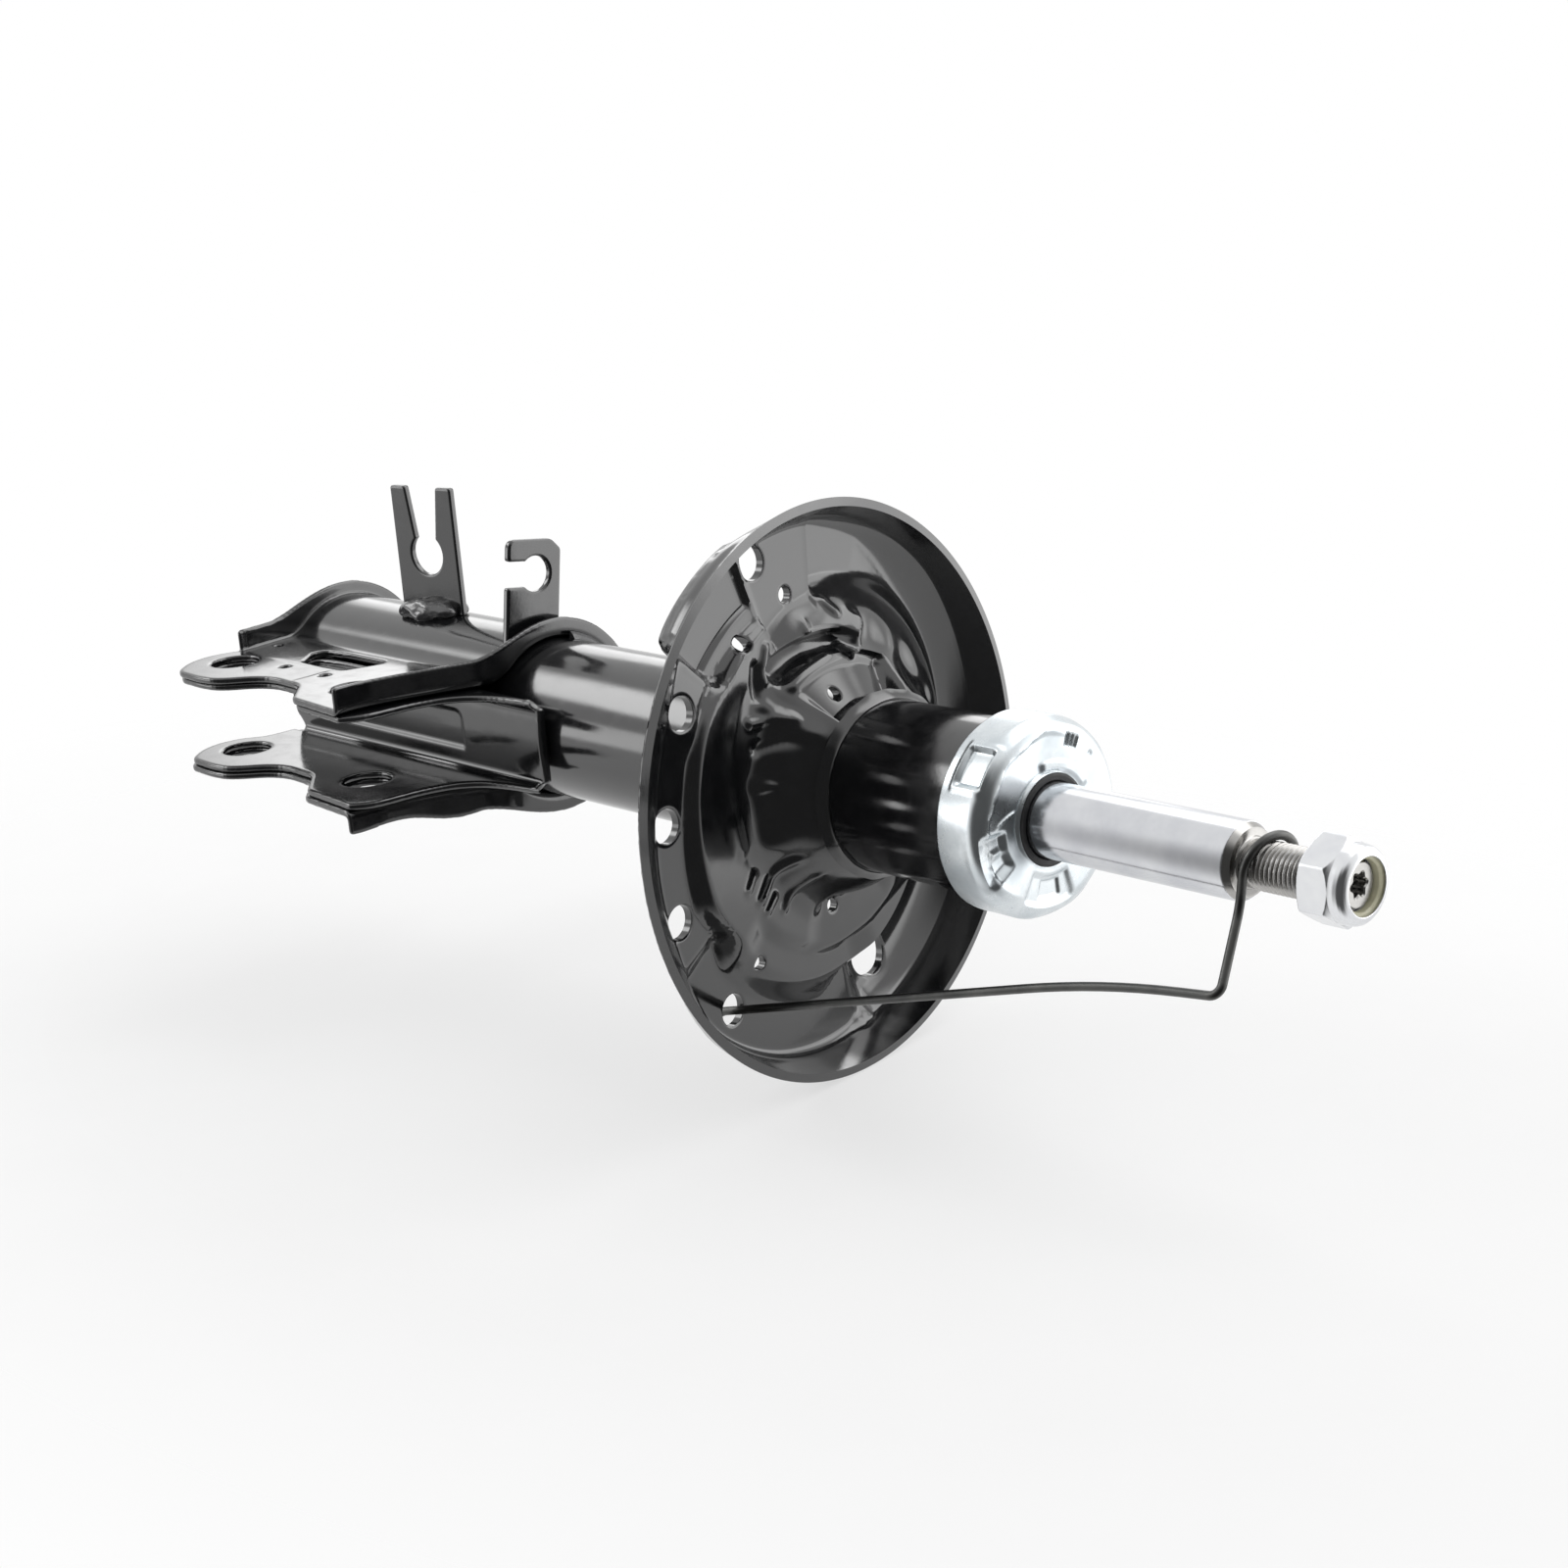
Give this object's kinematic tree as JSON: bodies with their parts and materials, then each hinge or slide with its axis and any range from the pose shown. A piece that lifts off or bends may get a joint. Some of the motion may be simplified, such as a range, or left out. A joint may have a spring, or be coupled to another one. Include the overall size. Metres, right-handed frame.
{
  "type": "front suspension strut",
  "caption": "Twin-tube suspension strut with stamped knuckle bracket, spring seat, chromed piston rod with nut, and a transport wire that holds the rod in.",
  "frame": {"origin": "centre of the flat base of the strut tube", "axes": "+X along the strut from its base to the top nut, +Z along the knuckle bolts, the knuckle ears reach toward -Y"},
  "size_m": [0.4529, 0.1763, 0.1777],
  "materials": {
    "black_paint": "gloss black dip coat",
    "painted_weld": "black dip coat over a rough weld bead",
    "zinc_plate": "bright blue-white zinc plate",
    "rod_chrome": "ground and polished hard chrome",
    "nut_zinc": "bright zinc plate",
    "wire_steel": "dark drawn spring wire",
    "bare_steel": "bare machined steel, oiled",
    "sintered_iron": "sintered iron, oiled",
    "bush_bronze": "bronze lined bush",
    "black_rubber": "matte moulded rubber",
    "bumper_polymer": "moulded elastomer",
    "slide_polymer": "low friction band",
    "ivory_nylon": "ivory nylon"
  },
  "bodies": {
    "strut_body": {"outer_tube": "black_paint", "base_cup": "black_paint", "knuckle_bracket": "black_paint", "knuckle_channel": "black_paint", "brake_hose_bracket": "black_paint", "hose_bracket_weld": "painted_weld", "sensor_line_bracket": "black_paint", "bracket_weld": "painted_weld", "spring_seat": "black_paint", "seat_weld": "painted_weld", "bump_cap": "zinc_plate", "rod_wiper": "black_rubber", "oil_seal": "black_rubber", "rod_guide": "sintered_iron", "guide_bush": "bush_bronze", "pressure_tube": "bare_steel", "foot_valve_body": "sintered_iron", "foot_valve_bolt": "bare_steel", "foot_valve_discs": "bare_steel"},
    "wire_carrier": {"retaining_wire": "wire_steel"},
    "rod": {"piston_rod": "rod_chrome", "piston": "sintered_iron", "piston_ring": "slide_polymer", "piston_nut": "bare_steel", "rebound_discs": "bare_steel", "compression_discs": "bare_steel", "rebound_stop": "bare_steel", "rebound_bumper": "bumper_polymer", "top_nut": "nut_zinc", "nylon_insert": "ivory_nylon"}
  },
  "joints": [
    {"name": "rod_stroke", "type": "slide", "parent": "strut_body", "child": "wire_carrier", "axis": [1, 0, 0], "range_m": [0, 0.165]},
    {"name": "rod_turn", "type": "hinge", "parent": "wire_carrier", "child": "rod", "pos_m": [0.3, 0, 0], "axis": [1, 0, 0], "continuous": true}
  ]
}
